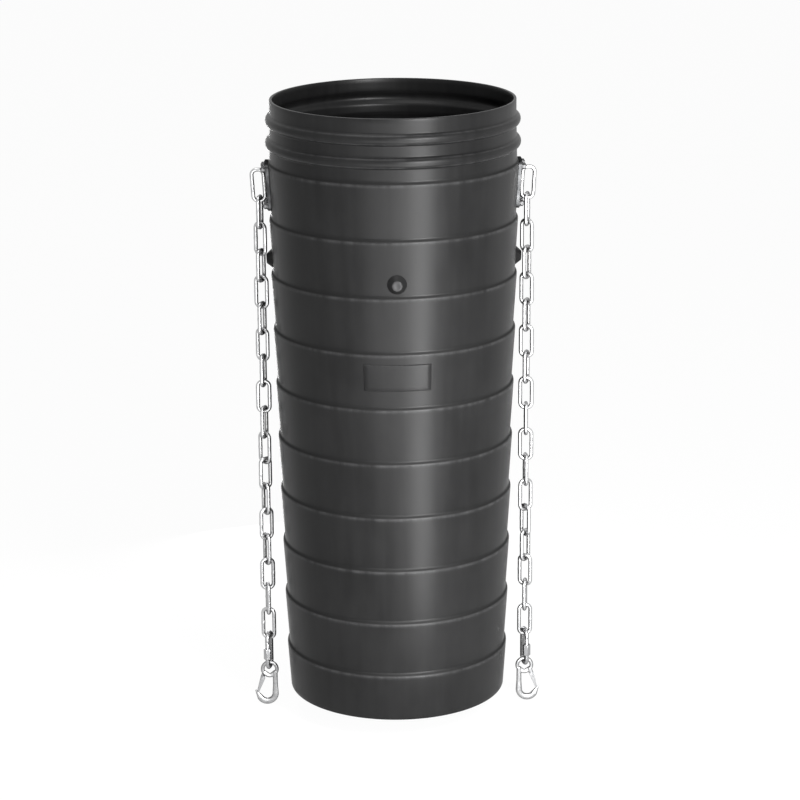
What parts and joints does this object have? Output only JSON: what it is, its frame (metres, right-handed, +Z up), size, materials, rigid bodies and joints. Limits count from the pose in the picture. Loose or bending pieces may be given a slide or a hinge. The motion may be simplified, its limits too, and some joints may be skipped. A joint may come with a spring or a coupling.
{
  "type": "rubble chute section",
  "caption": "Stepped, tapered dark plastic chute section with a beaded mouth, stop studs and long-link side chains ending in screw links and latched snap hooks.",
  "frame": {"origin": "centre of the top mouth, in the plane of the rim", "axes": "+Z up along the axis of the chute, -Y towards the front with the bare raised plate, +X to the right chain seen from the front"},
  "size_m": [0.5324, 0.457, 1.1431],
  "materials": {
    "shell_plastic": "moulded dark grey, faintly grained",
    "stud_plastic": "moulded near-black",
    "plate_steel": "darkened steel sheet",
    "chain_steel": "bright zinc-plated wire",
    "quick_link_steel": "bright zinc-plated",
    "sleeve_nut_steel": "turned, zinc-plated",
    "hook_steel": "forged, zinc-plated",
    "latch_steel": "pressed sheet, zinc-plated",
    "spring_steel": "drawn wire",
    "fastener_steel": "darkened steel",
    "pin_steel": "zinc-plated"
  },
  "bodies": {
    "chute": {"shell": "shell_plastic", "anchor_bolts": "fastener_steel", "anchor_washers": "fastener_steel", "anchor_nuts": "fastener_steel", "stud_screws": "fastener_steel", "right_stop_stud": "stud_plastic", "back_stop_stud": "stud_plastic", "left_stop_stud": "stud_plastic", "front_stop_stud": "stud_plastic", "left_anchor_plate": "plate_steel", "right_anchor_plate": "plate_steel", "left_link_01": "chain_steel", "right_link_01": "chain_steel"},
    "left_link_02": {"left_link_02": "chain_steel"},
    "left_link_03": {"left_link_03": "chain_steel"},
    "left_link_04": {"left_link_04": "chain_steel"},
    "left_link_05": {"left_link_05": "chain_steel"},
    "left_link_06": {"left_link_06": "chain_steel"},
    "left_link_07": {"left_link_07": "chain_steel"},
    "left_link_08": {"left_link_08": "chain_steel"},
    "left_link_09": {"left_link_09": "chain_steel"},
    "left_link_10": {"left_link_10": "chain_steel"},
    "left_link_11": {"left_link_11": "chain_steel"},
    "left_link_12": {"left_link_12": "chain_steel"},
    "left_link_13": {"left_link_13": "chain_steel"},
    "left_link_14": {"left_link_14": "chain_steel"},
    "left_link_15": {"left_link_15": "chain_steel"},
    "left_link_16": {"left_link_16": "chain_steel"},
    "left_link_17": {"left_link_17": "chain_steel"},
    "left_link_18": {"left_link_18": "chain_steel"},
    "left_quick_link": {"left_quick_link": "quick_link_steel"},
    "left_snap_hook": {"left_snap_hook": "hook_steel", "left_latch_pin": "pin_steel"},
    "left_sleeve_nut": {"left_sleeve_nut": "sleeve_nut_steel"},
    "left_hook_latch": {"left_hook_latch": "latch_steel", "left_latch_spring": "spring_steel"},
    "right_link_02": {"right_link_02": "chain_steel"},
    "right_link_03": {"right_link_03": "chain_steel"},
    "right_link_04": {"right_link_04": "chain_steel"},
    "right_link_05": {"right_link_05": "chain_steel"},
    "right_link_06": {"right_link_06": "chain_steel"},
    "right_link_07": {"right_link_07": "chain_steel"},
    "right_link_08": {"right_link_08": "chain_steel"},
    "right_link_09": {"right_link_09": "chain_steel"},
    "right_link_10": {"right_link_10": "chain_steel"},
    "right_link_11": {"right_link_11": "chain_steel"},
    "right_link_12": {"right_link_12": "chain_steel"},
    "right_link_13": {"right_link_13": "chain_steel"},
    "right_link_14": {"right_link_14": "chain_steel"},
    "right_link_15": {"right_link_15": "chain_steel"},
    "right_link_16": {"right_link_16": "chain_steel"},
    "right_link_17": {"right_link_17": "chain_steel"},
    "right_link_18": {"right_link_18": "chain_steel"},
    "right_quick_link": {"right_quick_link": "quick_link_steel"},
    "right_snap_hook": {"right_snap_hook": "hook_steel", "right_latch_pin": "pin_steel"},
    "right_sleeve_nut": {"right_sleeve_nut": "sleeve_nut_steel"},
    "right_hook_latch": {"right_hook_latch": "latch_steel", "right_latch_spring": "spring_steel"}
  },
  "joints": [
    {"name": "left_latch_turn", "type": "hinge", "parent": "left_snap_hook", "child": "left_hook_latch", "pos_m": [-0.25119, 0, -1.09], "axis": [0, -1, 0], "range_deg": [0, 40], "stiffness_Nm_per_rad": 0.02, "springref_deg": -28.65, "deforming": ["left_latch_spring"]},
    {"name": "right_latch_turn", "type": "hinge", "parent": "right_snap_hook", "child": "right_hook_latch", "pos_m": [0.25119, 0, -1.09], "axis": [0, 1, 0], "range_deg": [0, 40], "stiffness_Nm_per_rad": 0.02, "springref_deg": -28.65, "deforming": ["right_latch_spring"]},
    {"name": "left_sleeve_nut_slide", "type": "slide", "parent": "left_quick_link", "child": "left_sleeve_nut", "axis": [0, 0, 1], "range_m": [0, 0.0135]},
    {"name": "right_sleeve_nut_slide", "type": "slide", "parent": "right_quick_link", "child": "right_sleeve_nut", "axis": [0, 0, 1], "range_m": [0, 0.0135]},
    {"name": "left_snap_hook_swing", "type": "hinge", "parent": "left_quick_link", "child": "left_snap_hook", "pos_m": [-0.23819, 0, -1.06805], "axis": [0.2588, 0.9659, 0], "range_deg": [-30, 45]},
    {"name": "right_snap_hook_swing", "type": "hinge", "parent": "right_quick_link", "child": "right_snap_hook", "pos_m": [0.23819, 0, -1.06805], "axis": [0.2588, -0.9659, 0], "range_deg": [-30, 45]},
    {"name": "left_quick_link_swing", "type": "hinge", "parent": "left_link_18", "child": "left_quick_link", "pos_m": [-0.23819, 0, -1.00985], "axis": [0.9659, -0.2588, 0], "range_deg": [-30, 30]},
    {"name": "right_quick_link_swing", "type": "hinge", "parent": "right_link_18", "child": "right_quick_link", "pos_m": [0.23819, 0, -1.00985], "axis": [-0.9962, -0.0872, 0], "range_deg": [-30, 30]},
    {"name": "left_link_02_swing", "type": "hinge", "parent": "chute", "child": "left_link_02", "pos_m": [-0.23819, 0, -0.18195], "axis": [-0.9983, 0, -0.058], "range_deg": [0, 30]},
    {"name": "right_link_02_swing", "type": "hinge", "parent": "chute", "child": "right_link_02", "pos_m": [0.23819, 0, -0.18195], "axis": [0.9983, 0, -0.058], "range_deg": [0, 30]},
    {"name": "left_link_03_swing", "type": "hinge", "parent": "left_link_02", "child": "left_link_03", "pos_m": [-0.23819, 0, -0.23065], "axis": [0.2588, 0.9659, 0], "range_deg": [0, 20]},
    {"name": "right_link_03_swing", "type": "hinge", "parent": "right_link_02", "child": "right_link_03", "pos_m": [0.23819, 0, -0.23065], "axis": [-0.2588, -0.9659, 0], "range_deg": [0, 20]},
    {"name": "left_link_04_swing", "type": "hinge", "parent": "left_link_03", "child": "left_link_04", "pos_m": [-0.23819, 0, -0.27935], "axis": [-0.7986, 0.6018, 0], "range_deg": [0, 20]},
    {"name": "right_link_04_swing", "type": "hinge", "parent": "right_link_03", "child": "right_link_04", "pos_m": [0.23819, 0, -0.27935], "axis": [0.7986, -0.6018, 0], "range_deg": [0, 20]},
    {"name": "left_link_05_swing", "type": "hinge", "parent": "left_link_04", "child": "left_link_05", "pos_m": [-0.23819, 0, -0.32805], "axis": [0.4695, 0.8829, 0], "range_deg": [0, 20]},
    {"name": "right_link_05_swing", "type": "hinge", "parent": "right_link_04", "child": "right_link_05", "pos_m": [0.23819, 0, -0.32805], "axis": [-0.5, -0.866, 0], "range_deg": [0, 20]},
    {"name": "left_link_06_swing", "type": "hinge", "parent": "left_link_05", "child": "left_link_06", "pos_m": [-0.23819, 0, -0.37675], "axis": [-0.9272, 0.3746, 0], "range_deg": [0, 20]},
    {"name": "right_link_06_swing", "type": "hinge", "parent": "right_link_05", "child": "right_link_06", "pos_m": [0.23819, 0, -0.37675], "axis": [0.866, -0.5, 0], "range_deg": [0, 20]},
    {"name": "left_link_07_swing", "type": "hinge", "parent": "left_link_06", "child": "left_link_07", "pos_m": [-0.23819, 0, -0.42545], "axis": [0.4226, 0.9063, 0], "range_deg": [0, 20]},
    {"name": "right_link_07_swing", "type": "hinge", "parent": "right_link_06", "child": "right_link_07", "pos_m": [0.23819, 0, -0.42545], "axis": [-0.4226, -0.9063, 0], "range_deg": [0, 20]},
    {"name": "left_link_08_swing", "type": "hinge", "parent": "left_link_07", "child": "left_link_08", "pos_m": [-0.23819, 0, -0.47415], "axis": [-0.8572, 0.515, 0], "range_deg": [0, 20]},
    {"name": "right_link_08_swing", "type": "hinge", "parent": "right_link_07", "child": "right_link_08", "pos_m": [0.23819, 0, -0.47415], "axis": [0.9397, -0.342, 0], "range_deg": [0, 20]},
    {"name": "left_link_09_swing", "type": "hinge", "parent": "left_link_08", "child": "left_link_09", "pos_m": [-0.23819, 0, -0.52285], "axis": [0.2588, 0.9659, 0], "range_deg": [0, 20]},
    {"name": "right_link_09_swing", "type": "hinge", "parent": "right_link_08", "child": "right_link_09", "pos_m": [0.23819, 0, -0.52285], "axis": [-0.342, -0.9397, 0], "range_deg": [0, 20]},
    {"name": "left_link_10_swing", "type": "hinge", "parent": "left_link_09", "child": "left_link_10", "pos_m": [-0.23819, 0, -0.57155], "axis": [1, 0, 0], "range_deg": [-30, 30]},
    {"name": "right_link_10_swing", "type": "hinge", "parent": "right_link_09", "child": "right_link_10", "pos_m": [0.23819, 0, -0.57155], "axis": [-0.9903, 0.1392, 0], "range_deg": [-30, 30]},
    {"name": "left_link_11_swing", "type": "hinge", "parent": "left_link_10", "child": "left_link_11", "pos_m": [-0.23819, 0, -0.62025], "axis": [0.342, 0.9397, 0], "range_deg": [0, 20]},
    {"name": "right_link_11_swing", "type": "hinge", "parent": "right_link_10", "child": "right_link_11", "pos_m": [0.23819, 0, -0.62025], "axis": [-0.0349, -0.9994, 0], "range_deg": [0, 20]},
    {"name": "left_link_12_swing", "type": "hinge", "parent": "left_link_11", "child": "left_link_12", "pos_m": [-0.23819, 0, -0.66895], "axis": [-0.788, 0.6157, 0], "range_deg": [0, 20]},
    {"name": "right_link_12_swing", "type": "hinge", "parent": "right_link_11", "child": "right_link_12", "pos_m": [0.23819, 0, -0.66895], "axis": [0.9848, -0.1736, 0], "range_deg": [-30, 30]},
    {"name": "left_link_13_swing", "type": "hinge", "parent": "left_link_12", "child": "left_link_13", "pos_m": [-0.23819, 0, -0.71765], "axis": [0.7986, 0.6018, 0], "range_deg": [0, 20]},
    {"name": "right_link_13_swing", "type": "hinge", "parent": "right_link_12", "child": "right_link_13", "pos_m": [0.23819, 0, -0.71765], "axis": [0.0872, -0.9962, 0], "range_deg": [0, 20]},
    {"name": "left_link_14_swing", "type": "hinge", "parent": "left_link_13", "child": "left_link_14", "pos_m": [-0.23819, 0, -0.76635], "axis": [-0.454, 0.891, 0], "range_deg": [0, 20]},
    {"name": "right_link_14_swing", "type": "hinge", "parent": "right_link_13", "child": "right_link_14", "pos_m": [0.23819, 0, -0.76635], "axis": [-0.9397, -0.342, 0], "range_deg": [0, 20]},
    {"name": "left_link_15_swing", "type": "hinge", "parent": "left_link_14", "child": "left_link_15", "pos_m": [-0.23819, 0, -0.81505], "axis": [0.9063, 0.4226, 0], "range_deg": [0, 20]},
    {"name": "right_link_15_swing", "type": "hinge", "parent": "right_link_14", "child": "right_link_15", "pos_m": [0.23819, 0, -0.81505], "axis": [0.5736, -0.8192, 0], "range_deg": [0, 20]},
    {"name": "left_link_16_swing", "type": "hinge", "parent": "left_link_15", "child": "left_link_16", "pos_m": [-0.23819, 0, -0.86375], "axis": [-0.4226, 0.9063, 0], "range_deg": [0, 20]},
    {"name": "right_link_16_swing", "type": "hinge", "parent": "right_link_15", "child": "right_link_16", "pos_m": [0.23819, 0, -0.86375], "axis": [-0.6428, -0.766, 0], "range_deg": [0, 20]},
    {"name": "left_link_17_swing", "type": "hinge", "parent": "left_link_16", "child": "left_link_17", "pos_m": [-0.23819, 0, -0.91245], "axis": [-0.9848, -0.1736, 0], "range_deg": [-30, 30]},
    {"name": "right_link_17_swing", "type": "hinge", "parent": "right_link_16", "child": "right_link_17", "pos_m": [0.23819, 0, -0.91245], "axis": [0.9063, -0.4226, 0], "range_deg": [0, 20]},
    {"name": "left_link_18_swing", "type": "hinge", "parent": "left_link_17", "child": "left_link_18", "pos_m": [-0.23819, 0, -0.96115], "axis": [-0.1564, 0.9877, 0], "range_deg": [0, 20]},
    {"name": "right_link_18_swing", "type": "hinge", "parent": "right_link_17", "child": "right_link_18", "pos_m": [0.23819, 0, -0.96115], "axis": [-0.1736, -0.9848, 0], "range_deg": [0, 20]}
  ]
}
